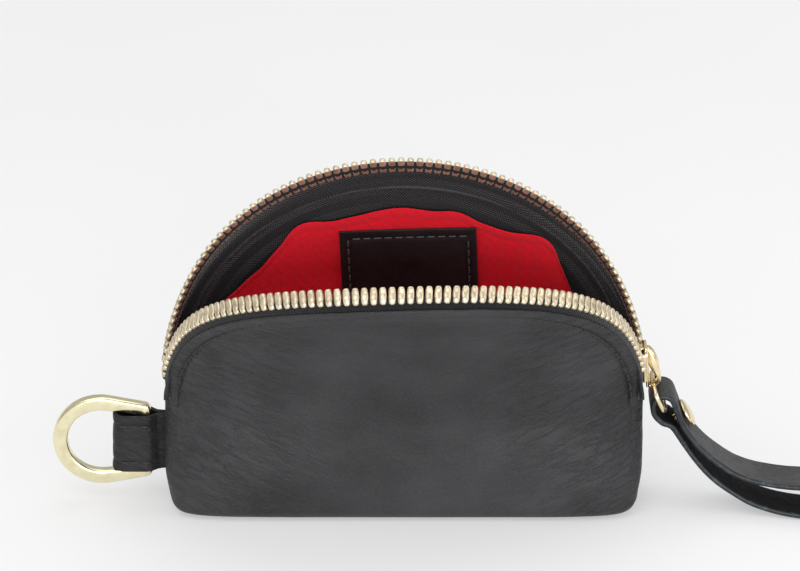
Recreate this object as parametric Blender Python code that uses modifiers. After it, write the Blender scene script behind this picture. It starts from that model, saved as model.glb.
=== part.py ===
"""A half-moon leather coin purse standing open, with its zip, wrist strap and side ring.

Metres, +Z up.  The origin is the centre of the flat base, +X runs to the zip's slider,
+Y to the rear panel.  Each soft wall is one sheet given a thickness.  The front wall is
drawn closed, as a mirror of the rear one, and is then rolled open about the flap hinge.
"""
from math import acos, atan2, cos, pi, radians, sin, sqrt, tanh

import bmesh
import bpy
from mathutils import Matrix, Vector

# ---- driving dimensions, in metres --------------------------------------------------
MM = 0.001
HALF_WIDTH = 63.6 * MM          # side seam to the middle
BASE_HALF_WIDTH = 62.0 * MM     # the boxed base is narrower than the seams
HALF_DEPTH = 15.0 * MM          # half of the pouch's thickness at its fullest
BASE_HALF_DEPTH = 13.8 * MM
SEAM_TOP = 30.0 * MM            # where the side seams end and the mouth begins
ARCH_RISE = 63.0 * MM           # seam top to the crown of the leather arch
BASE_POWER = 7.0                # superellipse exponents: boxy at the base,
SEAM_POWER = 2.7                # rounder at the seam tops
CORNER_ROUND = 4.0 * MM         # rounding of the base's edge
LEATHER = 1.3 * MM
LINING = 0.6 * MM
LINING_DROP = 5.6 * MM          # the lining stops this far below the leather's edge
LINING_INSET = 2.1 * MM         # outer leather face to the lining's outer face
TAPE = 0.5 * MM
TAPE_INSET = 3.8 * MM
TAPE_INSIDE = 10.5 * MM         # tape that lies inside the lining, below the edge
TAPE_FREE = 2.9 * MM            # tape between the leather's edge and the teeth
TOOTH_WIDTH = 2.2 * MM
TOOTH_PITCH = 2.24 * MM
TOOTH_TOP = 4.2 * MM
BEAD_FOOT = 0.35 * MM
BEAD_TOP = 1.5 * MM
CHAIN_START = radians(15.8)      # the first tooth, up from the slider's end
CHAIN_END = radians(168.4)
STOP_TURNS = (168.9, 170.5)      # degrees, just past the last tooth
BEAD_WIDTH = 1.2 * MM
GAP = 0.35 * MM                 # clearance between pieces that touch
BASE_SEAM = 3.4 * MM            # the base's seam runs this far in front of the middle
SEAM_GAP = 0.4 * MM             # half the gap along the side seams and under the base

FLAP_ANGLE = 0.70               # radians the front wall is rolled open
HINGE_Y = 2.0 * MM
HINGE_Z = 36.0 * MM
ROLL_START = 16.0 * MM          # height where the roll begins
ROLL_END = 84.0 * MM            # height where it is complete

ZIP_CENTRE_Z = 35.2 * MM        # centre of the arc that the slider follows
ZIP_RADIUS = 62.6 * MM
SLIDER_TURN = radians(4.5)      # where the slider rests, up from the horizontal
SLIDER_LENGTH = 12.0 * MM
SLIDER_WIDTH = 8.2 * MM
SLIDER_PLATE = 0.9 * MM
SLIDER_HEIGHT = 4.6 * MM

RING_TOP = Vector((65.9, 0.0, 35.9)) * MM     # the pull ring's limb in the bridge
RING_FOOT = Vector((69.2, 0.0, 28.6)) * MM    # its limb in the strap
RING_HALF_WIDTH = 6.9 * MM
RING_WIRE = 0.65 * MM

STRAP_WIDTH = 12.0 * MM
STRAP_LEATHER = 1.5 * MM
RIVET_SHANK = 1.2 * MM
RIVET_SPOT = Vector((73.15, 0.0, 24.6)) * MM  # between the strap's two layers
RIVET_TURN = radians(31.0)      # the rivet's axis, up from the horizontal

TAB_LOW = 10.2 * MM
TAB_HIGH = 25.8 * MM
TAB_FOLD_X = -77.6 * MM
TAB_HALF = 3.6 * MM             # half the folded tab's thickness, outside
TAB_NECK = [(-64.3 * MM, 1.35 * MM), (-65.7 * MM, 1.75 * MM), (-67.4 * MM, 3.2 * MM),
            (-68.6 * MM, TAB_HALF)]   # from the side seam to the bar, in plan
D_BAR_X = -69.2 * MM
D_INSIDE = 18.0 * MM             # across the inside of the belly
D_SECTION = 3.9 * MM             # the casting's width round its belly
D_BAR = 3.4 * MM                 # and across its straight bar
D_NARROW = 1.0 * MM              # the limbs draw in by this much towards the bar
D_ROUND_X = -80.9 * MM
D_THICK = 3.0 * MM

LABEL_WIDTH = 36.0 * MM
LABEL_HEIGHT = 25.0 * MM
LABEL_CENTRE = (1.4 * MM, 64.4 * MM)
LABEL_TURN = radians(2.0)
LABEL_INSET = 3.2 * MM
LABEL_THICK = 0.9 * MM

SHORTEST = 0.03                 # the wall's least rise above a seam, as a share
COLUMNS = 24                    # steps along a wall, seam to seam
FLAP_TRIM = radians(25.0)       # the flap solid stops this far from the zip's ends
THREAD_BELOW = 3.3 * MM          # the edge stitches' distance below the edge
FLAP_EASE = 3.9 * MM            # and draws in at the far end, clear of the closed slider
EASE_START, EASE_RUN = 0.64, 0.10  # where it does so, in cosines of the arch's turn


# ---- scene and materials ------------------------------------------------------------
def clear_scene():
    for item in list(bpy.data.objects):
        bpy.data.objects.remove(item, do_unlink=True)


def new_collection(name):
    made = bpy.data.collections.new(name)
    bpy.context.scene.collection.children.link(made)
    return made


def principled(name, colour, roughness, metallic=0.0):
    made = bpy.data.materials.new(name)
    made.use_nodes = True
    shader = made.node_tree.nodes["Principled BSDF"]
    shader.inputs["Base Color"].default_value = (*colour, 1.0)
    shader.inputs["Roughness"].default_value = roughness
    shader.inputs["Metallic"].default_value = metallic
    return made


def add_object(name, vertices, faces, material, collection):
    """A mesh object from points and faces, with its faces turned outward."""
    mesh = bpy.data.meshes.new(name)
    mesh.from_pydata([tuple(v) for v in vertices], [], faces)
    mesh.update()
    made = bpy.data.objects.new(name, mesh)
    collection.objects.link(made)
    mesh.materials.append(material)
    return made


def sheet(name, rows, thickness, material, collection, outward):
    """A wall: a grid of points, thickened towards the inside of the pouch."""
    width = len(rows[0])
    faces = []
    for j in range(len(rows) - 1):
        for i in range(width - 1):
            a = j * width + i
            quad = [a, a + 1, a + width + 1, a + width]
            faces.append(quad if outward else quad[::-1])
    made = add_object(name, [p for row in rows for p in row], faces, material, collection)
    solid = made.modifiers.new("thickness", "SOLIDIFY")
    solid.thickness = thickness
    solid.offset = -1.0
    made.data.shade_smooth()
    return made


def loft(name, sections, material, collection, closed=False):
    """A body through equal closed sections, capped at both ends unless it is a loop."""
    count = len(sections[0])
    faces = []
    spans = len(sections) if closed else len(sections) - 1
    for j in range(spans):
        here, there = j * count, (j + 1) % len(sections) * count
        for i in range(count):
            k = (i + 1) % count
            faces.append([here + i, here + k, there + k, there + i])
    if not closed:
        faces.append(list(range(count))[::-1])
        faces.append([(len(sections) - 1) * count + i for i in range(count)])
    made = add_object(name, [p for s in sections for p in s], faces, material, collection)
    face_outward(made)
    return made


def face_outward(item):
    work = bmesh.new()
    work.from_mesh(item.data)
    bmesh.ops.recalc_face_normals(work, faces=work.faces)
    work.to_mesh(item.data)
    work.free()


# ---- the pouch's form ---------------------------------------------------------------
def smoothstep(t):
    t = min(1.0, max(0.0, t))
    return t * t * (3.0 - 2.0 * t)


def arch_height(x, inset=0.0):
    """Height of the leather arch over x, drawn in by an inset."""
    half, rise = HALF_WIDTH - inset, ARCH_RISE - inset
    return SEAM_TOP + rise * sqrt(max(0.0, 1.0 - (x / half) ** 2))


def edge_depth(turn):
    """Distance of the leather's edge from the middle plane, at a turn along the arch."""
    return (4.9 + 3.6 * cos(turn) ** 2) * MM * tanh(16.0 * sin(turn))


def ring_depth(share, depth, power):
    """Half depth of a superelliptic ring, at a share of its half width."""
    return depth * max(0.0, 1.0 - abs(share) ** power) ** (1.0 / power)


def wall_depth(x, z):
    """Half depth of the pouch above the seam tops, over a point of its front view."""
    share = min(1.0, abs(x) / HALF_WIDTH)
    turn = acos(share)
    rise = arch_height(x) - SEAM_TOP
    level = min(1.0, max(0.0, (z - SEAM_TOP) / rise)) if rise > 0.0 else 1.0
    low = ring_depth(share, HALF_DEPTH, SEAM_POWER)
    return low + (edge_depth(turn) - low) * level ** 2


def low_ring(turn, z, inset):
    """A point of the pouch below the seam tops: its x and its half depth."""
    rise = smoothstep(z / (14.0 * MM))
    pull = 0.0
    if z < CORNER_ROUND:
        short = 1.0 - z / CORNER_ROUND
        pull = CORNER_ROUND * (1.0 - sqrt(max(0.0, 1.0 - short ** 2)))
    half = BASE_HALF_WIDTH + (HALF_WIDTH - BASE_HALF_WIDTH) * rise - pull - inset
    depth = BASE_HALF_DEPTH + (HALF_DEPTH - BASE_HALF_DEPTH) * rise - pull - inset
    power = BASE_POWER + (SEAM_POWER - BASE_POWER) * smoothstep(z / SEAM_TOP)
    return half * cos(turn), ring_depth(cos(turn), depth, power)


def rolled_open(point):
    """Where a point of the closed front wall lies when the wall is rolled open."""
    y, z = point.y - HINGE_Y, point.z - HINGE_Z
    low, high = 0.0, 1.0
    for _ in range(32):
        share = 0.5 * (low + high)
        turn = share * FLAP_ANGLE
        height = HINGE_Z + y * sin(turn) + z * cos(turn)
        if smoothstep((height - ROLL_START) / (ROLL_END - ROLL_START)) >= share:
            low = share
        else:
            high = share
    turn = low * FLAP_ANGLE
    return Vector((point.x, HINGE_Y + y * cos(turn) - z * sin(turn),
                   HINGE_Z + y * sin(turn) + z * cos(turn)))


def placed(x, depth, z, front):
    """A wall point on the rear half, or on the front half rolled open."""
    if front:
        point = rolled_open(Vector((x, -depth, z)))
        point.y = min(point.y, -SEAM_GAP)
        return point
    return Vector((x, max(depth, SEAM_GAP), z))


def turns(start, end, steps):
    return [start + (end - start) * i / steps for i in range(steps + 1)]


def pouch_rows(front, inset, columns):
    """Rows of the low wall, from the base's middle line up to the seam tops."""
    rows = []
    for height in (0.0, 0.12, 0.45, 1.0):
        rows.append((height * CORNER_ROUND, 1.0))
    rows = [(0.0, 0.0)] + rows
    rows += [(z * MM, 1.0) for z in (8.0, 14.0, 21.0, 29.7)]
    out = []
    for z, spread in rows:
        row = []
        lift = inset * max(0.0, 1.0 - z / SEAM_TOP)
        for turn in turns(pi, 0.0, columns):
            x, depth = low_ring(turn, z, inset)
            if spread:
                row.append(placed(x, depth, z + lift, front))
            else:
                gap = -SEAM_GAP if front else SEAM_GAP
                row.append(Vector((x, gap - BASE_SEAM * sin(turn), z + lift)))
        out.append(row)
    return out


def drawn_in(turn):
    """How much of the flap's ease applies at a turn."""
    return smoothstep((-cos(turn) - EASE_START) / EASE_RUN)


def upper_rows(front, inset, drop, first, trim, columns, steps, ease=0.0):
    """Rows of a wall above the seam tops, up to its edge along the arch."""
    out = []
    for level in turns(first, 1.0, steps):
        row = []
        for turn in turns(pi - trim, trim, columns):
            clear = ease * drawn_in(turn)
            x = (HALF_WIDTH - inset - clear) * cos(turn)
            top = SEAM_TOP + (ARCH_RISE - drop - clear) * max(SHORTEST, sin(turn))
            z = SEAM_TOP + level * (top - SEAM_TOP)
            depth = wall_depth(x, z) - inset
            row.append(placed(x, depth, z, front))
        out.append(row)
    return out


# ---- soft walls ---------------------------------------------------------------------
def rear_wall(name, inset, drop, trim, thickness, material, collection):
    rows = pouch_rows(False, inset, COLUMNS)
    rows += upper_rows(False, inset, drop, 0.10, trim, COLUMNS, 7)
    return sheet(name, rows, thickness, material, collection, outward=False)


def front_wall(name, inset, thickness, material, collection):
    return sheet(name, pouch_rows(True, inset, COLUMNS), thickness, material, collection,
                 outward=True)


def flap_wall(name, inset, drop, thickness, material, collection):
    rows = upper_rows(True, inset, drop, 0.045, FLAP_TRIM, COLUMNS - 6, 8, FLAP_EASE)
    return sheet(name, rows, thickness, material, collection, outward=True)


# ---- zip ----------------------------------------------------------------------------
def band_frame(turn, front):
    """The leather's edge at a turn, and the way that the free zip band points there."""
    x, z = HALF_WIDTH * cos(turn), SEAM_TOP + ARCH_RISE * sin(turn)
    out = Vector((cos(turn) / HALF_WIDTH, 0.0, sin(turn) / ARCH_RISE)).normalized()
    lean_top = radians(68.0 if front else 27.0)
    lean = lean_top + (radians(86.0) - lean_top) * abs(cos(turn)) ** 3
    edge = Vector((x, edge_depth(turn) - 0.8 * MM, z))
    way = out * cos(lean) + Vector((0.0, -1.0, 0.0)) * sin(lean)
    side = way.cross(Vector((-sin(turn), 0.0, cos(turn)))).normalized()
    return edge, way, side


def band_point(turn, along, aside, front):
    edge, way, side = band_frame(turn, front)
    spot = edge + way * along + side * aside
    if front:
        return rolled_open(Vector((spot.x, -spot.y, spot.z)))
    return spot


def zip_tape(name, front, material, collection):
    """The tape: a strip inside the lining, then the free band up to the teeth."""
    rows = []
    span = turns(pi - radians(15.5), radians(15.5), 30)
    for below in (TAPE_INSIDE, 8.5 * MM, 4.8 * MM):
        row = []
        for turn in span:
            x = (HALF_WIDTH - below) * cos(turn)
            z = SEAM_TOP + (ARCH_RISE - below) * sin(turn)
            depth = max(0.9 * MM, wall_depth(x, z) - TAPE_INSET)
            row.append(placed(x, depth, z, front))
        rows.append(row)
    row = []
    for turn in span:
        x = (HALF_WIDTH - 1.2 * MM) * cos(turn)
        z = SEAM_TOP + (ARCH_RISE - 1.2 * MM) * sin(turn)
        row.append(placed(x, max(0.9 * MM, wall_depth(x, z) - 2.7 * MM), z, front))
    rows.append(row)
    rows.append([band_point(t, 1.2 * MM, 0.9 * MM, front) for t in span])
    rows.append([band_point(t, TAPE_FREE - 2.0 * GAP, 0.35 * MM, front) for t in span])
    return sheet(name, rows, TAPE, material, collection, outward=front)


def zip_chain(name, front, material, collection):
    """Teeth on their corded bead: a bar whose section swells at each tooth."""
    arc = HALF_WIDTH * (CHAIN_END - CHAIN_START)
    count = round(arc / TOOTH_PITCH)
    step = (CHAIN_END - CHAIN_START) / count
    sections = []
    for i in range(count):
        middle = CHAIN_START + (i + 0.5) * step
        for edge in (-0.27, 0.27):
            shapes = ((0.5 * BEAD_WIDTH, BEAD_FOOT, BEAD_TOP), (0.5 * TOOTH_WIDTH, 0.0, TOOTH_TOP))
            for half, foot, top in (shapes if edge < 0 else shapes[::-1]):
                turn = middle + edge * step
                ring = [(foot, -half), (top, -half), (top, half), (foot, half)]
                sections.append([band_point(turn, TAPE_FREE + along, aside, front)
                                 for along, aside in ring])
    made = loft(name, sections, material, collection)
    return made


def stop_block(name, turn_degrees, front, material, collection):
    """A small crimped stop at the end of a row of teeth."""
    low, high = turn_degrees
    sections = []
    for turn in (radians(low), radians(high)):
        ring = [(0.2, -1.1), (3.0, -1.1), (3.0, 1.1), (0.2, 1.1)]
        sections.append([band_point(turn, TAPE_FREE + a * MM, b * MM, front)
                         for a, b in ring])
    return loft(name, sections, material, collection)


def on_slider(item):
    """Turn a slider piece, drawn along +X as outward, to its place on the arc."""
    place = Matrix.Translation((0.0, 0.0, ZIP_CENTRE_Z))
    place = place @ Matrix.Rotation(-SLIDER_TURN, 4, "Y")
    place = place @ Matrix.Translation((ZIP_RADIUS, 0.0, 0.0))
    item.data.transform(place)


def block(name, size, centre, material, collection):
    work = bmesh.new()
    bmesh.ops.create_cube(work, size=1.0)
    bmesh.ops.scale(work, vec=size, verts=work.verts)
    bmesh.ops.translate(work, vec=centre, verts=work.verts)
    mesh = bpy.data.meshes.new(name)
    work.to_mesh(mesh)
    work.free()
    made = bpy.data.objects.new(name, mesh)
    collection.objects.link(made)
    mesh.materials.append(material)
    return made


def slider_body(material, collection):
    """Two plates, drawn together towards the tail, joined by the dividing post."""
    half, thick = 0.5 * SLIDER_HEIGHT, SLIDER_PLATE
    length, width = SLIDER_LENGTH, SLIDER_WIDTH
    outline = [(-0.5, 0.2), (-0.4, 0.31), (-0.1, 0.42), (0.25, 0.5), (0.42, 0.46), (0.5, 0.3)]
    outline = outline + [(z, -y) for z, y in outline[::-1]]
    plates = []
    for low in (-half, half - thick):
        sections = [[Vector((x, y * width, z * length)) for z, y in outline]
                    for x in (low, low + thick)]
        plates.append(sections)
    made = loft("slider_body", plates[1], material, collection)
    inner = loft("slider_inner_plate", plates[0], material, collection)
    post = block("slider_post", (SLIDER_HEIGHT - thick, 1.6 * MM, 2.4 * MM),
                 (0.0, 0.0, 0.36 * length), material, collection)
    for item in (inner, post):
        item.hide_render = True
        item.display_type = "WIRE"
        join = made.modifiers.new("join " + item.name, "BOOLEAN")
        join.operation = "UNION"
        join.object = item
    for item in (made, inner, post):
        on_slider(item)
    move_to(inner, "cutters")
    move_to(post, "cutters")
    return made


def move_to(item, collection_name):
    for home in list(item.users_collection):
        home.objects.unlink(item)
    bpy.data.collections[collection_name].objects.link(item)


def tube(name, points, radius, material, collection, closed=False, sides=2):
    """A wire: a poly spline given a round section."""
    curve = bpy.data.curves.new(name, "CURVE")
    curve.dimensions = "3D"
    curve.bevel_depth = radius
    curve.bevel_resolution = sides
    curve.use_fill_caps = not closed
    line = curve.splines.new("POLY")
    line.points.add(len(points) - 1)
    for spot, point in zip(line.points, points):
        spot.co = (*point, 1.0)
    line.use_cyclic_u = closed
    curve.materials.append(material)
    made = bpy.data.objects.new(name, curve)
    collection.objects.link(made)
    return made


def slider_bridge(material, collection):
    """The crown that holds the pull ring: a bent strip over the outer plate."""
    path = [(2.75, -5.7), (4.2, -5.5), (5.4, -4.4), (5.9, -2.2), (5.95, 0.2), (5.5, 2.7),
            (4.4, 4.3), (2.75, 4.9)]
    sections = []
    for i, (out, along) in enumerate(path):
        before = Vector(path[max(0, i - 1)])
        after = Vector(path[min(len(path) - 1, i + 1)])
        way = (after - before).normalized()
        normal = Vector((-way.y, way.x))
        ring = []
        for side, across in ((-1, -1), (1, -1), (1, 1), (-1, 1)):
            spot = Vector((out, along)) + normal * side * 0.45
            ring.append(Vector((spot.x * MM, across * 1.25 * MM, spot.y * MM)))
        sections.append(ring)
    made = loft("slider_bridge", sections, material, collection)
    on_slider(made)
    return made


def pull_ring(material, collection):
    """An oval wire ring in a plane that holds the Y axis."""
    middle = (RING_TOP + RING_FOOT) * 0.5
    half = (RING_FOOT - RING_TOP) * 0.5
    points = []
    for turn in turns(0.0, 2.0 * pi, 28)[:-1]:
        round_y = abs(cos(turn)) ** 0.62 * (1.0 if cos(turn) >= 0.0 else -1.0)
        round_z = abs(sin(turn)) ** 0.62 * (1.0 if sin(turn) >= 0.0 else -1.0)
        points.append(middle + half * round_z + Vector((0.0, RING_HALF_WIDTH * round_y, 0.0)))
    return tube("pull_ring", points, RING_WIRE, material, collection, closed=True)


# ---- wrist strap --------------------------------------------------------------------
def smooth_path(knots, steps):
    """A Catmull-Rom curve through the knots of an open route."""
    knots = [Vector(k) for k in knots]
    ends = [knots[0] * 2.0 - knots[1]] + knots + [knots[-1] * 2.0 - knots[-2]]
    out = []
    for i in range(1, len(ends) - 2):
        a, b, c, d = ends[i - 1:i + 3]
        for k in range(steps):
            t = k / steps
            out.append(0.5 * ((2.0 * b) + (c - a) * t + (2.0 * a - 5.0 * b + 4.0 * c - d) * t * t
                              + (3.0 * b - a - 3.0 * c + d) * t ** 3))
    out.append(ends[-2])
    return out


# The strap's middle line in millimetres: from the ring down the upper layer to the far
# fold, back along the table, and up the lower layer into the lobe that holds the ring.
UPPER_LAYER = [(72.5, 0.0, 28.6), (73.8, 0.0, 25.2), (75.6, -0.2, 22.2), (79.0, -0.9, 18.1),
               (83.5, -1.7, 14.3), (88.8, -2.8, 11.3), (95.4, -4.3, 9.7), (105.0, -6.2, 9.3),
               (125.0, -9.2, 9.6), (150.0, -11.4, 9.8), (180.0, -12.2, 9.6),
               (204.0, -12.2, 8.2)]
LOWER_LAYER = [(204.0, -12.2, 0.8), (180.0, -12.2, 0.8), (150.0, -11.4, 0.8),
               (125.0, -9.2, 0.8), (105.0, -6.2, 0.95), (94.4, -4.1, 2.8),
               (88.0, -2.6, 5.8), (82.6, -1.5, 9.5), (78.2, -0.7, 14.2), (74.4, -0.1, 19.6),
               (71.3, 0.0, 24.2)]
RING_LOBE = [(68.6, 0.0, 25.6), (66.5, 0.0, 28.2), (66.5, 0.0, 31.1), (68.6, 0.0, 32.7),
             (71.1, 0.0, 31.8)]


def strap_route():
    """The strap's closed middle line."""
    upper = smooth_path(UPPER_LAYER, 3)
    lower = smooth_path(LOWER_LAYER, 3)
    top, foot = UPPER_LAYER[-1], LOWER_LAYER[0]
    middle, radius = 0.5 * (top[2] + foot[2]), 0.5 * (top[2] - foot[2])
    fold = []
    for turn in turns(pi / 2.0, -pi / 2.0, 8)[1:-1]:
        fold.append(Vector((top[0] + radius * cos(turn), top[1], middle + radius * sin(turn))))
    lobe = smooth_path([LOWER_LAYER[-1]] + RING_LOBE + [UPPER_LAYER[0]], 2)[1:-1]
    return [p * MM for p in upper + fold + lower + lobe]


def wrist_strap(material, collection):
    route = strap_route()
    sections = []
    count = len(route)
    for i, here in enumerate(route):
        way = (route[(i + 1) % count] - route[i - 1]).normalized()
        normal = Vector((0.0, 1.0, 0.0)).cross(way).normalized()
        flat = way.cross(normal)
        ring = []
        for side, across in ((-1, -1), (1, -1), (1, 1), (-1, 1)):
            ring.append(here + normal * side * 0.5 * STRAP_LEATHER
                        + flat * across * 0.5 * STRAP_WIDTH)
        sections.append(ring)
    made = loft("wrist_strap", sections, material, collection, closed=True)
    hole = turned("rivet_hole", [(RIVET_SHANK + 0.4 * MM, -6.0 * MM),
                                 (RIVET_SHANK + 0.4 * MM, 6.0 * MM)], material, collection)
    hole.hide_render = True
    hole.display_type = "WIRE"
    move_to(hole, "cutters")
    cut = made.modifiers.new("rivet hole", "BOOLEAN")
    cut.operation = "DIFFERENCE"
    cut.object = hole
    return made


def turned(name, profile, material, collection, sides=16):
    """A turned piece on the rivet's axis: radius and height pairs, from foot to top."""
    sections = []
    for radius, height in profile:
        sections.append([Vector((radius * cos(t), radius * sin(t), height))
                         for t in turns(0.0, 2.0 * pi, sides)[:-1]])
    made = loft(name, sections, material, collection)
    place = Matrix.Translation(RIVET_SPOT)
    made.data.transform(place @ Matrix.Rotation(pi / 2.0 - RIVET_TURN, 4, "Y"))
    return made


def rivet(material, collection):
    """The cap on the upper layer, and the shank through both layers."""
    cap = [(2.6, 2.5), (3.8, 2.65), (3.75, 3.05), (3.0, 3.5), (1.6, 3.75)]
    turned("rivet_cap", [(r * MM, h * MM) for r, h in cap], material, collection)
    post = [(1.2, -2.3), (1.2, 1.9)]
    turned("rivet_post", [(r * MM, h * MM) for r, h in post], material, collection)


# ---- side ring ----------------------------------------------------------------------
def d_outline(grow):
    """The D's outline, grown outward: a straight bar and a round belly, joined by tangents."""
    radius = 0.5 * D_INSIDE + grow
    share = grow / D_SECTION
    corner_x = D_BAR_X + (share - 0.5) * D_BAR
    corner_y = 0.5 * D_INSIDE - D_NARROW + 0.65 * grow
    reach = sqrt((corner_x - D_ROUND_X) ** 2 + corner_y ** 2)
    start = atan2(corner_y, corner_x - D_ROUND_X) + acos(radius / reach)
    points = [(corner_x, -corner_y), (corner_x, corner_y)]
    for turn in turns(start, 2.0 * pi - start, 20):
        points.append((D_ROUND_X + radius * cos(turn), radius * sin(turn)))
    return points


def d_ring(material, collection):
    curve = bpy.data.curves.new("d_ring", "CURVE")
    curve.dimensions = "2D"
    curve.fill_mode = "BOTH"
    curve.extrude = 0.5 * D_THICK
    for grow in (D_SECTION, 0.0):
        outline = d_outline(grow)
        line = curve.splines.new("POLY")
        line.points.add(len(outline) - 1)
        for spot, (x, y) in zip(line.points, outline):
            spot.co = (x, y, 0.0, 1.0)
        line.use_cyclic_u = True
    curve.materials.append(material)
    made = bpy.data.objects.new("d_ring", curve)
    made.rotation_euler = (pi / 2.0, 0.0, 0.0)
    made.location = (0.0, 0.0, 0.5 * (TAB_LOW + TAB_HIGH))
    collection.objects.link(made)
    return made


def ring_tab(material, collection):
    """A folded strap: out along its front face, round the fold and back."""
    half, leather = TAB_HALF, 1.2 * MM
    route = [(x, -y) for x, y in TAB_NECK] + [(TAB_FOLD_X + half, -half)]
    for turn in turns(1.5 * pi, 0.5 * pi, 8)[1:-1]:
        route.append((TAB_FOLD_X + half + half * cos(turn), half * sin(turn)))
    route += [(TAB_FOLD_X + half, half)] + TAB_NECK[::-1]
    rows = [[Vector((x, y, z)) for x, y in route] for z in (TAB_LOW, TAB_HIGH)]
    return sheet("ring_tab", rows, leather, material, collection, outward=False)


def straight_thread(name, start, end, radius, material, collection):
    steps = 4
    points = [Vector(start).lerp(Vector(end), i / steps) for i in range(steps + 1)]
    return tube(name, points, radius, material, collection, sides=1)


# ---- label and threads --------------------------------------------------------------
def label_patch(name, width, height, inset, thickness, material, collection, columns=6, rows=5):
    """A patch that follows the rear lining's inner face."""
    grid = []
    for j in range(rows + 1):
        line = []
        for i in range(columns + 1):
            u = (i / columns - 0.5) * width
            w = (j / rows - 0.5) * height
            x = LABEL_CENTRE[0] + u * cos(LABEL_TURN) - w * sin(LABEL_TURN)
            z = LABEL_CENTRE[1] + u * sin(LABEL_TURN) + w * cos(LABEL_TURN)
            line.append(Vector((x, wall_depth(x, z) - inset, z)))
        grid.append(line)
    return sheet(name, grid, thickness, material, collection, outward=False)


def edge_thread(name, front, material, collection):
    """The row of thread that runs just below the leather's edge, outside."""
    points = []
    for turn in turns(pi - FLAP_TRIM, FLAP_TRIM, 34):
        below = THREAD_BELOW + (FLAP_EASE * drawn_in(turn) if front else 0.0)
        x = (HALF_WIDTH - below) * cos(turn)
        z = SEAM_TOP + (ARCH_RISE - below) * sin(turn)
        depth = wall_depth(x, z) + 0.75 * MM
        points.append(placed(x, depth, z, front))
    return tube(name, points, 0.3 * MM, material, collection, sides=0)


# ---- build --------------------------------------------------------------------------
def build():
    clear_scene()
    purse = new_collection("coin_purse")
    new_collection("cutters")
    leather = principled("black_leather", (0.03, 0.03, 0.032), 0.55)
    red = principled("red_lining", (0.42, 0.01, 0.02), 0.85)
    tape = principled("black_tape", (0.02, 0.02, 0.022), 0.9)
    teeth = principled("zip_teeth_metal", (0.72, 0.56, 0.33), 0.3, 1.0)
    gold = principled("slider_gold", (0.8, 0.58, 0.3), 0.22, 1.0)
    brass = principled("ring_brass", (0.78, 0.7, 0.38), 0.25, 1.0)
    thread = principled("black_thread", (0.025, 0.025, 0.027), 0.7)
    strap = principled("strap_leather", (0.05, 0.05, 0.055), 0.45)

    rear_wall("rear_panel", 0.0, 0.0, 0.0, LEATHER, leather, purse)
    front_wall("front_panel", 0.0, LEATHER, leather, purse)
    flap_wall("front_flap", 0.0, 0.0, LEATHER, leather, purse)
    rear_wall("lining_rear", LINING_INSET, LINING_DROP, radians(8.0), LINING, red, purse)
    front_wall("lining_front", LINING_INSET, LINING, red, purse)
    flap_wall("lining_flap", LINING_INSET, LINING_DROP, LINING, red, purse)

    zip_tape("zip_tape_rear", False, tape, purse)
    zip_tape("zip_tape_front", True, tape, purse)
    zip_chain("zip_chain_rear", False, teeth, purse)
    zip_chain("zip_chain_front", True, teeth, purse)
    stop_block("zip_top_stop_rear", STOP_TURNS, False, teeth, purse)
    stop_block("zip_top_stop_front", STOP_TURNS, True, teeth, purse)
    slider_body(gold, purse)
    slider_bridge(gold, purse)
    pull_ring(gold, purse)
    wrist_strap(strap, purse)
    rivet(gold, purse)

    ring_tab(leather, purse)
    d_ring(brass, purse)
    for name, z in (("tab_thread_upper", TAB_HIGH - 2.4 * MM),
                    ("tab_thread_lower", TAB_LOW + 2.4 * MM)):
        straight_thread(name, (TAB_NECK[-1][0], -TAB_HALF - 0.65 * MM, z),
                        (TAB_FOLD_X + 4.0 * MM, -TAB_HALF - 0.65 * MM, z), 0.3 * MM, thread, purse)
    label_patch("label", LABEL_WIDTH, LABEL_HEIGHT, LABEL_INSET, LABEL_THICK, leather, purse)
    edge_thread("edge_thread_front", True, thread, purse)
    edge_thread("edge_thread_rear", False, thread, purse)


build()
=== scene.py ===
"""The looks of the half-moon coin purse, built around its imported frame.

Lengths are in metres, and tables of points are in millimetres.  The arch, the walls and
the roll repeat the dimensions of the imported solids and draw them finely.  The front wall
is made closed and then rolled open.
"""
from math import cos, pi, radians, sin

import bmesh
import bpy
import numpy as np
from mathutils import Matrix, Vector, noise


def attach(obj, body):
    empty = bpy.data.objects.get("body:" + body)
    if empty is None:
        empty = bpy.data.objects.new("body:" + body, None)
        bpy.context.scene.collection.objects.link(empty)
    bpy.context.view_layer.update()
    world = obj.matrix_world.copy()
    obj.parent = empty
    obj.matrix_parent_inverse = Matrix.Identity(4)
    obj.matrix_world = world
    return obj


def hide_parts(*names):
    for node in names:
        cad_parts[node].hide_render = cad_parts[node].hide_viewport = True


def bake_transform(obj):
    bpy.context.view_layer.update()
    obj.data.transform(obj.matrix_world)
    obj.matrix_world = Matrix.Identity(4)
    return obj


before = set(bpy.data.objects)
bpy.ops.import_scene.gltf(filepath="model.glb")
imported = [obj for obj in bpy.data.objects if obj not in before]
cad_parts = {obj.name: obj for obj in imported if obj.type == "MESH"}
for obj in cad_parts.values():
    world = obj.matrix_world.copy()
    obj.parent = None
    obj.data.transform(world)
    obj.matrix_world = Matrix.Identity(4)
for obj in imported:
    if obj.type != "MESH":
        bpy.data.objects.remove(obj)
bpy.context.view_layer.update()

# ---- the form, as the frame has it --------------------------------------------------
MM = 0.001
HALF_WIDTH = 63.6 * MM
BASE_HALF_WIDTH = 62.0 * MM
HALF_DEPTH = 15.0 * MM
BASE_HALF_DEPTH = 13.8 * MM
SEAM_TOP = 30.0 * MM
ARCH_RISE = 63.0 * MM
BASE_POWER, SEAM_POWER = 7.0, 2.7
CORNER_ROUND = 4.0 * MM
FLAP_ANGLE, FLAP_TWIST, FLAP_EASE = 0.748, -0.037, -0.14   # at the middle, and across
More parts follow.
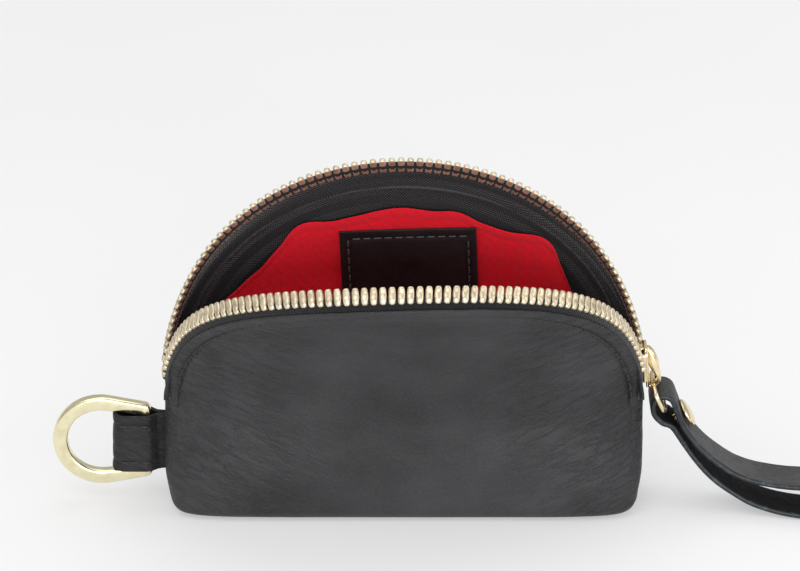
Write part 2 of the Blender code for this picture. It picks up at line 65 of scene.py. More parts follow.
HINGE_Y, HINGE_Z = 2.0 * MM, 36.0 * MM
ROLL_START, ROLL_END = 16.0 * MM, 84.0 * MM
ZIP_CENTRE_Z, ZIP_RADIUS = 35.2 * MM, 62.6 * MM
SLIDER_TURN = radians(4.5)
TAPE_FREE = 2.9 * MM
TOOTH_PITCH = 2.24 * MM
CHAIN_START, CHAIN_END = radians(10.6), radians(168.6)
STOP_TURN = radians(169.9)
RING_TOP = Vector((65.9, 0.0, 35.9)) * MM
RING_FOOT = Vector((69.2, 0.0, 28.6)) * MM
RIVET_SPOT = Vector((73.15, 0.0, 24.6)) * MM
RIVET_TURN = radians(31.0)
LEATHER = 1.3 * MM
STITCHES_BELOW = 3.3 * MM
STRAP_WIDTH, STRAP_THICK = 12.0 * MM, 1.5 * MM
RING_HALF_WIDTH, RING_WIRE = 6.9 * MM, 0.66 * MM

# ---- camera -------------------------------------------------------------------------
CAMERA_ELEVATION = radians(25.5)
CAMERA_DISTANCE = 1.05
CAMERA_LENS = 175.3
CAMERA_TARGET = Vector((-1.06, 24.64, 51.67)) * MM
LIGHT_AIM = Vector((0.0, 0.0, 0.03))


def smoothstep(t):
    t = np.clip(t, 0.0, 1.0)
    return t * t * (3.0 - 2.0 * t)


def unit(vectors):
    return vectors / np.linalg.norm(vectors, axis=-1, keepdims=True)


def edge_depth(turn):
    return (4.9 + 3.6 * np.cos(turn) ** 2) * MM * np.tanh(16.0 * np.sin(turn))


def ring_depth(share, depth, power):
    return depth * np.maximum(0.0, 1.0 - np.abs(share) ** power) ** (1.0 / power)


def wall_depth(x, z):
    """Half depth of the pouch above the seam tops, over points of its front view."""
    share = np.minimum(1.0, np.abs(x) / HALF_WIDTH)
    rise = ARCH_RISE * np.sqrt(np.maximum(1e-6, 1.0 - share ** 2))
    level = np.clip((z - SEAM_TOP) / rise, 0.0, 1.0)
    low = ring_depth(share, HALF_DEPTH, SEAM_POWER)
    return low + (edge_depth(np.arccos(share)) - low) * level ** 2


def low_ring(turn, z):
    """Points below the seam tops: x and half depth."""
    rise = smoothstep(z / (14.0 * MM))
    short = np.clip(1.0 - z / CORNER_ROUND, 0.0, 1.0)
    pull = CORNER_ROUND * (1.0 - np.sqrt(1.0 - short ** 2))
    half = BASE_HALF_WIDTH + (HALF_WIDTH - BASE_HALF_WIDTH) * rise - pull
    depth = BASE_HALF_DEPTH + (HALF_DEPTH - BASE_HALF_DEPTH) * rise - pull
    power = BASE_POWER + (SEAM_POWER - BASE_POWER) * smoothstep(z / SEAM_TOP)
    return half * np.cos(turn), ring_depth(np.cos(turn), depth, power)


def roll_open(points):
    """Where points of the closed front wall lie when the wall is rolled open."""
    points = np.asarray(points, float)
    y, z = points[..., 1] - HINGE_Y, points[..., 2] - HINGE_Z
    across = np.clip(points[..., 0] / (60.0 * MM), -1.0, 1.0)
    full = FLAP_ANGLE + FLAP_TWIST * across + FLAP_EASE * across ** 2
    low, high = np.zeros_like(y), np.ones_like(y)
    for _ in range(34):
        share = 0.5 * (low + high)
        height = HINGE_Z + y * np.sin(share * full) + z * np.cos(share * full)
        over = smoothstep((height - ROLL_START) / (ROLL_END - ROLL_START)) >= share
        low = np.where(over, share, low)
        high = np.where(over, high, share)
    turn = low * full
    out = points.copy()
    out[..., 1] = HINGE_Y + y * np.cos(turn) - z * np.sin(turn)
    out[..., 2] = HINGE_Z + y * np.sin(turn) + z * np.cos(turn)
    return out


def on_front(points):
    """Mirror rear-half points to the front wall and roll it open."""
    return roll_open(np.asarray(points) * (1.0, -1.0, 1.0))


def band_frame(turn, front):
    """The leather's edge, the free zip band's direction there, and its inward side."""
    turn = np.atleast_1d(turn)
    zero = np.zeros_like(turn)
    out = np.stack([np.cos(turn) / HALF_WIDTH, zero, np.sin(turn) / ARCH_RISE], -1)
    out = unit(out)
    top = radians(68.0 if front else 27.0)
    lean = (top + (radians(86.0) - top) * np.abs(np.cos(turn)) ** 3)[:, None]
    edge = np.stack([HALF_WIDTH * np.cos(turn), edge_depth(turn) - 0.8 * MM,
                     SEAM_TOP + ARCH_RISE * np.sin(turn)], -1)
    way = out * np.cos(lean) - np.array((0.0, 1.0, 0.0)) * np.sin(lean)
    along = np.stack([-np.sin(turn), zero, np.cos(turn)], -1)
    side = np.cross(way, along)
    side = unit(side)
    return edge, way, side


def band_points(turn, along, aside, front):
    edge, way, side = band_frame(turn, front)
    spot = edge + way * along + side * aside
    return on_front(spot) if front else spot


# ---- mesh helpers -------------------------------------------------------------------
def link(name, data):
    """A new object in the scene that shows some data."""
    made = bpy.data.objects.new(name, data)
    bpy.context.scene.collection.objects.link(made)
    return made


def new_mesh_object(name, vertices, faces, uv=None, smooth=True):
    mesh = bpy.data.meshes.new(name)
    mesh.from_pydata(np.asarray(vertices, float).reshape(-1, 3).tolist(), [], faces)
    if uv is not None:
        layer = mesh.uv_layers.new(name="weave")
        flat = np.asarray(uv, float).reshape(-1, 2)
        corners = np.zeros(len(mesh.loops), dtype=np.int64)
        mesh.loops.foreach_get("vertex_index", corners)
        layer.data.foreach_set("uv", flat[corners].ravel())
    mesh.update()
    made = link(name, mesh)
    if smooth:
        mesh.shade_smooth()
    return made


def grid_faces(rows, columns, flip=False, wrap=False):
    faces = []
    last = columns if wrap else columns - 1
    for j in range(rows - 1):
        for i in range(last):
            k = (i + 1) % columns
            quad = [j * columns + i, j * columns + k,
                    (j + 1) * columns + k, (j + 1) * columns + i]
            faces.append(quad[::-1] if flip else quad)
    return faces


def tube_faces(levels, sides):
    """The faces of a closed tube of rings, with a cap at each end."""
    first = list(range(sides))
    last = [(levels - 1) * sides + k for k in first]
    return grid_faces(levels, sides, wrap=True) + [first[::-1], last]


def squared_circle(angle, power):
    """The cosine and sine of a circle that is pushed out towards a square."""
    c, s = cos(angle), sin(angle)
    return np.sign(c) * abs(c) ** power, np.sign(s) * abs(s) ** power


def settle(item):
    """Apply an object's modifiers and leave a plain mesh behind."""
    bpy.context.view_layer.update()
    graph = bpy.context.evaluated_depsgraph_get()
    mesh = bpy.data.meshes.new_from_object(item.evaluated_get(graph))
    item.modifiers.clear()
    item.data = mesh
    return item


RIM_ROWS = 5                    # rows of points round a sheet's edge


def slab(name, outer, normal, thickness, front, uv, material):
    """A closed sheet: a grid's outer face, its inner face, and a rounded rim between them."""
    inner = outer - normal * thickness
    rows = []
    for edge, step in ((0, 1), (-1, -2)):
        away = outer[edge] - outer[step]
        length = np.linalg.norm(away, axis=-1, keepdims=True)
        away = np.where(length > 1e-5, away / np.maximum(length, 1e-9), 0.0)
        middle, half = 0.5 * (outer[edge] + inner[edge]), 0.5 * (outer[edge] - inner[edge])
        angles = np.linspace(0.0, pi, RIM_ROWS + 2)[1:-1]
        rim = [middle + half * cos(a) + away * (0.42 * thickness * sin(a)) for a in angles]
        rows.append(rim)
    grid = np.concatenate([outer, np.array(rows[1]), inner[::-1], np.array(rows[0])[::-1]])
    if uv is not None:
        tip, foot = np.repeat(uv[-1:], RIM_ROWS, 0), np.repeat(uv[:1], RIM_ROWS, 0)
        uv = np.concatenate([uv, tip, uv[::-1], foot])
    if front:
        grid = on_front(grid)
    count, columns = len(grid), grid.shape[1]
    faces = grid_faces(count, columns)
    last = (count - 1) * columns
    faces += [[last + i, last + i + 1, i + 1, i] for i in range(columns - 1)]
    levels = len(outer)
    start = levels + RIM_ROWS
    for i, flip in ((0, False), (columns - 1, True)):
        caps = [[j, j + 1, start + levels - 2 - j, start + levels - 1 - j]
                for j in range(levels - 1)]
        caps.append([levels - 1] + [levels + k for k in range(RIM_ROWS)] + [start])
        caps.append([start + levels - 1] + [start + levels + k for k in range(RIM_ROWS)] + [0])
        for cap in caps:
            face = [row * columns + i for row in cap]
            faces.append(face[::-1] if flip else face)
    made = new_mesh_object(name, grid, faces, uv)
    face_outward(made, merge=True)
    paint(made, material)
    return made


def face_outward(item, merge=False):
    """Turn every face outward; merge also joins the points that meet at a sheet's ends."""
    work = bmesh.new()
    work.from_mesh(item.data)
    if merge:
        bmesh.ops.remove_doubles(work, verts=work.verts, dist=2e-6)
        bmesh.ops.dissolve_degenerate(work, edges=work.edges, dist=1e-6)
    bmesh.ops.recalc_face_normals(work, faces=work.faces)
    work.to_mesh(item.data)
    work.free()
    item.data.shade_smooth()


def wall_normals(grid, seam_row):
    """Outward normals of a rear wall's grid, steadied where its columns close up."""
    normal = grid_normals(grid)
    normal *= np.sign(normal[:, normal.shape[1] // 2, 1:2])[..., None]
    share = np.minimum(1.0, np.abs(grid[..., 0]) / np.abs(grid[seam_row:, :, 0]).max()) ** 10
    flat = np.stack([np.sign(grid[..., 0]) * share, np.sqrt(1.0 - share ** 2),
                     np.zeros_like(share)], -1)
    normal[seam_row:] = flat[seam_row:]
    for i, way in ((0, -1.0), (-1, 1.0)):
        normal[:, i] = (way, 0.0, 0.0)
    return normal


def grid_normals(points):
    """Unit normals of a grid of points, rows by columns."""
    across = np.gradient(points, axis=1)
    up = np.gradient(points, axis=0)
    normal = np.cross(across, up)
    length = np.linalg.norm(normal, axis=-1, keepdims=True)
    return normal / np.maximum(length, 1e-12)


def noise_field(points, size, seed, octaves=3):
    """Smooth noise between about -1 and 1 at each point, with features of a size."""
    flat = np.asarray(points).reshape(-1, 3) / size + seed
    values = [noise.fractal(Vector(p), 1.0, 2.0, octaves) for p in flat]
    return np.array(values).reshape(np.asarray(points).shape[:-1])


def paint(item, material):
    item.data.materials.clear()
    item.data.materials.append(material)


def solid(name, vertices, faces, material):
    """A closed mesh object, faced outward and painted."""
    made = new_mesh_object(name, vertices, faces)
    face_outward(made)
    paint(made, material)
    return made


def arch_turns(count, trim=0.0):
    """Turns along the arch from the left end to the right, closer together at the ends."""
    t = np.linspace(0.0, 1.0, count)
    t = t - 0.11 * np.sin(2.0 * pi * t)
    return (pi - trim) - (pi - 2.0 * trim) * t


# ---- materials ----------------------------------------------------------------------
class Nodes:
    """A material's node tree, with short ways to add and join nodes."""

    def __init__(self, name):
        self.material = bpy.data.materials.new(name)
        self.material.use_nodes = True
        self.tree = self.material.node_tree
        self.shader = self.tree.nodes["Principled BSDF"]

    def add(self, kind, **settings):
        node = self.tree.nodes.new(kind)
        for key, value in settings.items():
            setattr(node, key, value)
        return node

    def join(self, out_socket, in_socket):
        self.tree.links.new(out_socket, in_socket)

    def put(self, **values):
        """Set inputs of the shader: a socket is joined, and anything else is a constant."""
        for key, value in values.items():
            socket = self.shader.inputs[key.replace("_", " ")]
            if isinstance(value, bpy.types.NodeSocket):
                self.join(value, socket)
            else:
                socket.default_value = value

    def math(self, operation, first, second=None, third=None):
        node = self.add("ShaderNodeMath", operation=operation)
        for slot, value in enumerate((first, second, third)):
            if value is None:
                continue
            if isinstance(value, (int, float)):
                node.inputs[slot].default_value = value
            else:
                self.join(value, node.inputs[slot])
        return node.outputs[0]

    def place(self, scale=(1.0, 1.0, 1.0), uv=False):
        if uv:
            source = self.add("ShaderNodeUVMap", uv_map="weave").outputs[0]
        else:
            source = self.add("ShaderNodeTexCoord").outputs["Object"]
        mapping = self.add("ShaderNodeMapping")
        mapping.inputs["Scale"].default_value = scale
        self.join(source, mapping.inputs["Vector"])
        return mapping.outputs[0]

    def noise(self, vector, scale, detail=3.0, rough=0.5):
        node = self.add("ShaderNodeTexNoise")
        node.inputs["Scale"].default_value = scale
        node.inputs["Detail"].default_value = detail
        node.inputs["Roughness"].default_value = rough
        self.join(vector, node.inputs["Vector"])
        return node

    def ramp(self, factor, stops):
        node = self.add("ShaderNodeValToRGB")
        ramp = node.color_ramp
        while len(ramp.elements) < len(stops):
            ramp.elements.new(0.5)
        for element, (place, colour) in zip(ramp.elements, stops):
            element.position = place
            element.color = (*colour, 1.0)
        self.join(factor, node.inputs[0])
        return node.outputs[0]

    def bump(self, height, strength, distance, before=None):
        node = self.add("ShaderNodeBump")
        node.inputs["Strength"].default_value = strength
        node.inputs["Distance"].default_value = distance
        self.join(height, node.inputs["Height"])
        if before is not None:
            self.join(before, node.inputs["Normal"])
        return node.outputs[0]


def leather_material(name, dark, light, pebble=1.0 * MM, depth=0.16 * MM, rough=0.50):
    """Pebbled leather: rounded cells with creases between, finer pores, uneven colour, painted
    shade.
    """
    m = Nodes(name)
    spot = m.place()
    warp = m.noise(spot, 260.0, 2.0)
    mix = m.add("ShaderNodeMix", data_type="VECTOR")
    mix.inputs["Factor"].default_value = 0.0016
    m.join(spot, mix.inputs["A"])
    m.join(warp.outputs["Color"], mix.inputs["B"])
    cells = m.add("ShaderNodeTexVoronoi", feature="DISTANCE_TO_EDGE")
    cells.inputs["Scale"].default_value = 1.0 / pebble
    m.join(mix.outputs["Result"], cells.inputs["Vector"])
    domes = m.math("SMOOTH_MIN", cells.outputs["Distance"], 0.22, 0.2)
    drape = m.noise(m.place(scale=(1.0, 1.0, 2.2)), 95.0, 4.0, 0.6)
    pores = m.noise(spot, 2600.0, 2.0)
    parts = m.add("ShaderNodeSeparateXYZ")
    m.join(spot, parts.inputs[0])
    aside = m.math("ABSOLUTE", parts.outputs["X"])
    lean = m.add("ShaderNodeCombineXYZ")
    m.join(m.math("MULTIPLY", parts.outputs["X"], 0.36), lean.inputs["X"])
    m.join(m.math("MULTIPLY", parts.outputs["Y"], 0.8), lean.inputs["Y"])
    climb = m.math("MULTIPLY_ADD", aside, -0.42, parts.outputs["Z"])
    m.join(m.math("MULTIPLY", climb, 1.25), lean.inputs["Z"])
    streaks = m.noise(lean.outputs[0], 250.0, 3.0, 0.6)
    middle = m.math("ABSOLUTE", m.math("SUBTRACT", streaks.outputs["Fac"], 0.5))
    lines = m.math("POWER", m.math("SUBTRACT", 1.0, m.math("MULTIPLY", middle, 2.0)), 5.5)
    side = m.add("ShaderNodeMapRange", interpolation_type="SMOOTHSTEP")
    for slot_name, value in (("From Min", 0.012), ("From Max", 0.056), ("To Min", 0.12)):
        side.inputs[slot_name].default_value = value
    m.join(aside, side.inputs["Value"])
    creases = m.math("MULTIPLY", m.math("MULTIPLY", lines, side.outputs[0]), -1.0)
    first = m.bump(domes, 0.6, depth)
    second = m.bump(drape.outputs["Fac"], 0.45, 0.5 * MM, first)
    crossed = m.bump(creases, 0.7, 0.36 * MM, second)
    third = m.bump(pores.outputs["Fac"], 0.3, 0.06 * MM, crossed)
    m.put(Normal=third)
    cloud = m.noise(spot, 38.0, 3.0)
    # painted shade: the colour is darker along the creases and towards the cells' edges, and
    # lighter on the domes; the cloud adds random tone
    tone = m.math("MULTIPLY_ADD", creases, 0.17, m.math("MULTIPLY", domes, 0.5))
    blend = m.math("ADD", m.math("MULTIPLY_ADD", cloud.outputs["Fac"], 0.75, 0.08), tone)
    m.put(Base_Color=m.ramp(blend, [(0.25, dark), (0.75, light)]))
    shine = m.math("MULTIPLY_ADD", cloud.outputs["Fac"], 0.18, rough - 0.09)
    m.put(Roughness=shine)
    m.put(Specular_IOR_Level=0.26)
    return m.material


def twill_material(name, dark, light, pitch, depth, sheen):
    """A woven lining: fine diagonal ribs crossed by the threads that make them."""
    m = Nodes(name)
    spot = m.place(uv=True)
    wobble = m.noise(spot, 120.0, 2.0)
    parts = m.add("ShaderNodeSeparateXYZ")
    m.join(spot, parts.inputs[0])
    u, v = parts.outputs["X"], parts.outputs["Y"]
    shift = m.math("MULTIPLY", wobble.outputs["Fac"], 0.5 * MM)
    across = m.math("ADD", m.math("ADD", u, v), shift)
    ribs = m.math("SINE", m.math("MULTIPLY", across, 2.0 * pi / pitch))
    warp = m.math("SINE", m.math("MULTIPLY", m.math("ADD", u, shift), 2.0 * pi / (0.55 * pitch)))
    weft = m.math("SINE", m.math("MULTIPLY", v, 2.0 * pi / (0.55 * pitch)))
    threads = m.math("MULTIPLY", warp, weft)
    height = m.math("ADD", m.math("MULTIPLY", ribs, 0.6), m.math("MULTIPLY", threads, 0.4))
    soft = m.noise(spot, 900.0, 3.0)
    level = m.math("ADD", m.math("MULTIPLY_ADD", height, 0.28, 0.35),
                   m.math("MULTIPLY", soft.outputs["Fac"], 0.3))
    m.put(Base_Color=m.ramp(level, [(0.15, dark), (0.85, light)]))
    first = m.bump(height, 0.7, depth)
    m.put(Normal=m.bump(soft.outputs["Fac"], 0.3, 0.1 * MM, first))
    m.put(Roughness=0.86, Sheen_Weight=sheen, Sheen_Roughness=0.5, Specular_IOR_Level=0.2)
    return m.material


def tape_material(name):
    """Zip tape: a herringbone of fine ribs that turn back every few millimetres."""
    m = Nodes(name)
    spot = m.place(uv=True)
    parts = m.add("ShaderNodeSeparateXYZ")
    m.join(spot, parts.inputs[0])
    u, v = parts.outputs["X"], parts.outputs["Y"]
    fold = m.math("ABSOLUTE", m.math("PINGPONG", v, 2.6 * MM))
    ribs = m.math("SINE", m.math("MULTIPLY", m.math("ADD", u, fold), 2.0 * pi / (0.85 * MM)))
    fine = m.math("SINE", m.math("MULTIPLY", v, 2.0 * pi / (0.42 * MM)))
    height = m.math("ADD", m.math("MULTIPLY", ribs, 0.7), m.math("MULTIPLY", fine, 0.3))
    fuzz = m.noise(spot, 1500.0, 3.0)
    level = m.math("ADD", m.math("MULTIPLY_ADD", height, 0.3, 0.3),
                   m.math("MULTIPLY", fuzz.outputs["Fac"], 0.3))
    m.put(Base_Color=m.ramp(level, [(0.1, (0.003, 0.003, 0.004)), (0.9, (0.024, 0.024, 0.027))]))
    first = m.bump(height, 0.8, 0.16 * MM)
    m.put(Normal=m.bump(fuzz.outputs["Fac"], 0.3, 0.08 * MM, first))
    m.put(Roughness=0.82, Sheen_Weight=0.25, Sheen_Roughness=0.4, Specular_IOR_Level=0.25)
    return m.material


def metal_material(name, colour, dull, rough, metallic=1.0):
    """Plated metal: small scratches and a slightly duller tone in patches."""
    m = Nodes(name)
    spot = m.place()
    cloud = m.noise(spot, 420.0, 4.0)
    scratch = m.noise(m.place(scale=(1.0, 6.0, 1.0)), 900.0, 2.0)
    m.put(Base_Color=m.ramp(cloud.outputs["Fac"], [(0.3, dull), (0.62, colour)]))
    m.put(Roughness=m.math("MULTIPLY_ADD", cloud.outputs["Fac"], 0.14, rough - 0.05))
    m.put(Normal=m.bump(scratch.outputs["Fac"], 0.12, 0.03 * MM))
    m.put(Metallic=metallic)
    return m.material


def thread_material(name, dark, light):
    """Twisted thread: a fine rope-like rib with a slight wax shine."""
    m = Nodes(name)
    spot = m.place()
    wave = m.add("ShaderNodeTexWave", bands_direction="DIAGONAL")
    wave.inputs["Scale"].default_value = 900.0
    wave.inputs["Distortion"].default_value = 1.5
    m.join(spot, wave.inputs["Vector"])
    m.put(Base_Color=m.ramp(wave.outputs["Fac"], [(0.2, dark), (0.8, light)]))
    m.put(Normal=m.bump(wave.outputs["Fac"], 0.6, 0.06 * MM))
    m.put(Roughness=0.6)
    return m.material


def painted_edge_material(name):
    """The strap's edge paint: dark blue-black, with paler streaks that are painted highlights."""
    m = Nodes(name)
    spot = m.place()
    pale_streaks = m.noise(spot, 620.0, 4.0, 0.65)
    # painted highlight: the palest colour, laid in streaks, stands in for light along the edge
    m.put(Base_Color=m.ramp(pale_streaks.outputs["Fac"], [(0.38, (0.003, 0.005, 0.007)),
                                                  (0.55, (0.009, 0.014, 0.018)),
                                                  (0.75, (0.048, 0.064, 0.075))]))
    m.put(Normal=m.bump(pale_streaks.outputs["Fac"], 0.5, 0.12 * MM))
    m.put(Roughness=0.38)
    return m.material


def floor_material():
    m = Nodes("paper_floor")
    cloud = m.noise(m.place(), 6.0, 2.0)
    tones = [(0.3, (0.555, 0.555, 0.557)), (0.7, (0.575, 0.575, 0.577))]
    m.put(Base_Color=m.ramp(cloud.outputs["Fac"], tones))
    m.put(Roughness=0.9, Specular_IOR_Level=0.1, Emission_Color=(1.0, 1.0, 1.0, 1.0),
          Emission_Strength=0.39)
    return m.material


# ---- leather walls ------------------------------------------------------------------
LOW_LEVELS = np.concatenate([np.linspace(0.0, 1.0, 9)[1:] ** 1.6 * 4.0,
                             np.linspace(4.8, 29.2, 26)]) * MM
BASE_LEVELS = np.linspace(0.0, 1.0, 12)


def pouch_grid(columns, front, top_rows=70, edge_rows=6):
    """The whole outer face of one wall: base, low wall and the half-moon above it."""
    turn = arch_turns(columns)
    rows = []
    x0, depth0 = low_ring(turn, np.zeros_like(turn))
    for share in BASE_LEVELS:
        start = -3.4 * MM * np.sin(turn) * (-1.0 if front else 1.0)
        rows.append(np.stack([x0, start + (depth0 - start) * share, np.zeros_like(x0)], -1))
    for z in LOW_LEVELS:
        x, depth = low_ring(turn, np.full_like(turn, z))
        rows.append(np.stack([x, depth, np.full_like(x, z)], -1))
    levels = np.concatenate([np.linspace(0.0, 0.94, top_rows), np.linspace(0.95, 1.0, edge_rows)])
    for level in levels:
        x = HALF_WIDTH * np.cos(turn)
        z = SEAM_TOP + level * ARCH_RISE * np.maximum(0.012, np.sin(turn))
        rows.append(np.stack([x, wall_depth(x, z), z], -1))
    return np.array(rows)


def edge_distance(points):
    """How far wall points are below the leather's edge along the arch."""
    x, z = points[..., 0], points[..., 2] - SEAM_TOP
    radius = np.sqrt((x / HALF_WIDTH) ** 2 + (z / ARCH_RISE) ** 2)
    return np.where(z > 0.0, (1.0 - radius) * 0.5 * (HALF_WIDTH + ARCH_RISE), 1.0)


def leather_wall(name, front, material):
    grid = pouch_grid(170, front)
    seam_row = len(BASE_LEVELS) + len(LOW_LEVELS)
    normal = wall_normals(grid, seam_row)
    normal[:3] = (0.0, 0.0, -1.0)
    below = edge_distance(grid)
    relief = 0.26 * MM * noise_field(grid, 17.0 * MM, 3.1 if front else 7.7)
    relief += 0.10 * MM * noise_field(grid, 4.5 * MM, 9.4 if front else 1.3)
    relief -= 0.75 * MM * np.exp(-((below - STITCHES_BELOW) / (0.65 * MM)) ** 2)
    relief += 0.30 * MM * np.exp(-((below - 1.6 * MM) / (1.1 * MM)) ** 2)
    relief *= smoothstep(np.abs(grid[..., 2] - SEAM_TOP) / (4.0 * MM))
    fade = np.clip(grid[..., 2] / (3.0 * MM), 0.0, 1.0)
    fade = fade * np.clip(np.abs(grid[..., 1]) / (3.0 * MM), 0.0, 1.0)
    grid = grid + normal * (relief * fade)[..., None]
    return slab(name, grid, normal, LEATHER, front, None, material)


# ---- lining, label and tape ---------------------------------------------------------
HEM = [(0.0, 8.0), (14.0, 9.0), (32.8, 11.0), (41.9, 8.3), (47.5, 5.3), (51.7, 4.9), (58.1, 9.0),
       (62.3, 9.9), (69.3, 10.1), (74.6, 8.5), (82.2, 10.0), (91.4, 9.2), (102.8, 10.5),
       (111.1, 10.3), (117.6, 7.1), (122.0, 7.7), (126.8, 10.0), (136.4, 11.8), (147.5, 10.5),
       (157.1, 7.2), (168.0, 8.0), (180.0, 9.0)]


FLOOR_ROWS = 6                  # rows of the lining that lie on the base


def hem_offset(turn):
    """How far below the leather's edge the lining's hem runs: it waves along the arch."""
    spots = np.radians([degree for degree, _ in HEM])
    drops = np.array([drop for _, drop in HEM])
    near = [np.interp(turn + shift, spots, drops) for shift in np.linspace(-0.035, 0.035, 5)]
    return np.mean(near, axis=0) * MM


def lining_wall(name, front, material):
    """The lining: it follows the leather inside, and ends in a folded, stitched hem."""
    columns, rows, low_rows = 150, 90, 22
    turn = arch_turns(columns, radians(8.0))
    inset = 2.75 * MM
    grid = []
    x, depth = low_ring(turn, np.full_like(turn, 3.0 * MM))
    for share in np.linspace(0.0, 0.9, FLOOR_ROWS):
        grid.append(np.stack([x * (1.0 - inset / HALF_WIDTH),
                              np.maximum(0.9 * MM, depth - inset) * share,
                              np.full_like(x, 3.0 * MM)], -1))
    for j in range(low_rows):
        z = 3.0 * MM + (SEAM_TOP - 3.0 * MM) * j / low_rows
        x, depth = low_ring(turn, np.full_like(turn, z))
        grid.append(np.stack([x * (1.0 - inset / HALF_WIDTH), np.maximum(0.9 * MM, depth - inset),
                              np.full_like(x, z)], -1))
    drop = hem_offset(pi - turn) if front else hem_offset(turn)
    for j in range(rows):
        share = j / (rows - 1.0)
        x = (HALF_WIDTH - inset - (drop - inset) * share) * np.cos(turn)
        z = SEAM_TOP + share * (ARCH_RISE - drop) * np.sin(turn)
        grid.append(np.stack([x, np.maximum(0.9 * MM, wall_depth(x, z) - inset), z], -1))
    grid = np.array(grid)
    normal = wall_normals(grid, FLOOR_ROWS + low_rows)
    normal[:FLOOR_ROWS] = (0.0, 0.0, -1.0)
    reach = np.linspace(0.0, 1.0, rows)
    top = np.concatenate([np.zeros(FLOOR_ROWS + low_rows), reach])[:, None]
    pucker = 0.35 * MM * noise_field(grid, 9.0 * MM, 5.2) * np.minimum(1.0, 3.0 * top)
    hem = 0.30 * MM * smoothstep((top - 0.955) / 0.012)
    groove = 0.25 * MM * np.exp(-((top - 0.945) / 0.007) ** 2)
    grid = grid + normal * (groove - hem - np.abs(pucker))[..., None]
    rise = grid[..., 2].copy()
    rise[:FLOOR_ROWS] -= grid[FLOOR_ROWS, :, 1] - grid[:FLOOR_ROWS, :, 1]
    uv = np.stack([grid[..., 0], rise], -1)
    return slab(name, grid, normal, 0.45 * MM, front, uv, material)


def zip_tape(name, front, material):
    """The woven tape, from inside the wall over the leather's edge to its corded bead.

    Towards both side seams its free part narrows and sinks in behind the leather.
    """
    turn = arch_turns(170, radians(1.2))
    rows, across = [], []
    for below in np.linspace(15.0, 1.4, 18) * MM:
        x = (HALF_WIDTH - below) * np.cos(turn)
        z = SEAM_TOP + (ARCH_RISE - below) * np.sin(turn)
        depth = np.maximum(0.5 * MM, wall_depth(x, z) - 1.45 * MM)
        rows.append(np.stack([x, depth, z], -1))
        across.append(-below)
    edge, way, side = band_frame(turn, front)
    taper = smoothstep((np.minimum(turn, pi - turn) - radians(1.2)) / radians(9.5))[:, None]
    for along, aside in ((0.3, 0.55), (0.9, 0.35), (1.6, 0.2), (2.3, 0.1), (3.0, 0.0), (3.7, 0.0)):
        sunk = aside + 1.3 * (1.0 - taper)
        rows.append(edge + (way * (along * taper - 0.9 * (1.0 - taper)) + side * sunk) * MM)
        across.append(along * MM)
    grid = np.array(rows)
    normal = grid_normals(grid)
    normal *= np.sign(normal[6:7, 85:86, 1:2])
    uv = np.stack([np.broadcast_to(-turn * HALF_WIDTH, grid.shape[:2]),
                   np.broadcast_to(np.array(across)[:, None], grid.shape[:2])], -1)
    return slab(name, grid + normal * 0.2 * MM, normal, 0.42 * MM, front, uv, material)


# height, width along the zip, thickness, and depth of the slot between the legs, in mm
TOOTH_SECTIONS = [(-0.25, 0.90, 1.7, 0.6), (-0.05, 1.50, 2.2, 0.8), (0.35, 1.80, 2.45, 0.95),
                  (0.9, 1.92, 2.5, 0.95), (1.4, 1.94, 2.4, 0.8), (1.9, 1.94, 1.85, 0.3),
                  (2.3, 1.92, 1.45, 0.0), (2.9, 1.86, 1.35, 0.0), (3.5, 1.70, 1.3, 0.0),
                  (3.95, 1.42, 1.2, 0.0), (4.2, 0.95, 0.9, 0.0)]
TOOTH_SIDES = 16


def zip_chain(name, front, material):
    """Separate metal teeth, each with its legs round the bead, in one object."""
    count = round(HALF_WIDTH * (CHAIN_END - CHAIN_START) / TOOTH_PITCH)
    step = (CHAIN_END - CHAIN_START) / count
    vertices, faces, sides = [], [], TOOTH_SIDES
    for i in range(count):
        middle = CHAIN_START + (i + 0.5) * step
        edge, way, side = (v[0] for v in band_frame(middle, front))
        spot = edge + way * TAPE_FREE
        if front:
            base = on_front(spot[None])[0]
            tip = on_front((spot + way * 3.0 * MM)[None])[0]
            flank = on_front((spot + side * 3.0 * MM)[None])[0]
            way = unit(tip - base)
            side = flank - base
            side -= way * np.dot(side, way)
            side = unit(side)
            spot = base
        run = np.cross(way, side)
        first = len(vertices)
        for height, width, thick, slot in TOOTH_SECTIONS:
            for k in range(sides):
                a = 2.0 * pi * (k + 0.5) / sides
                c, s = squared_circle(a, 0.6)
                deep = slot * (s > 0.0) * max(0.0, 1.0 - (c / 0.55) ** 2)
                vertices.append(spot + way * height * MM + run * 0.5 * width * MM * c
                                + side * (0.5 * thick * s - deep) * MM)
        faces += [[first + v for v in face] for face in tube_faces(len(TOOTH_SECTIONS), sides)]
    return solid(name, vertices, faces, material)


def sweep(name, path, radius, material, sides=10, closed=False, flat=1.0):
    """A tube of a radius along a path, with rounded ends unless it is a loop."""
    path = np.asarray(path, float)
    count = len(path)
    if closed:
        way = np.roll(path, -1, 0) - np.roll(path, 1, 0)
    else:
        way = np.gradient(path, axis=0)
    way = unit(way)
    normal = np.cross(way[0], (0.0, 1.0, 0.0))
    if np.linalg.norm(normal) < 0.1:
        normal = np.cross(way[0], (1.0, 0.0, 0.0))
    rings = []
    for i in range(count):
        normal = normal - way[i] * np.dot(normal, way[i])
        normal = unit(normal)
        other = np.cross(way[i], normal)
        size = radius
        if not closed and i in (0, count - 1):
            size = radius * 0.45
        ring = [path[i] + size * (normal * cos(a) + flat * other * sin(a))
                for a in np.linspace(0.0, 2.0 * pi, sides, endpoint=False)]
        rings.append(ring)
    if closed:
        last = (count - 1) * sides
        faces = grid_faces(count, sides, wrap=True)
        faces += [[last + k, last + (k + 1) % sides, (k + 1) % sides, k] for k in range(sides)]
    else:
        faces = tube_faces(count, sides)
    return solid(name, np.array(rings), faces, material)


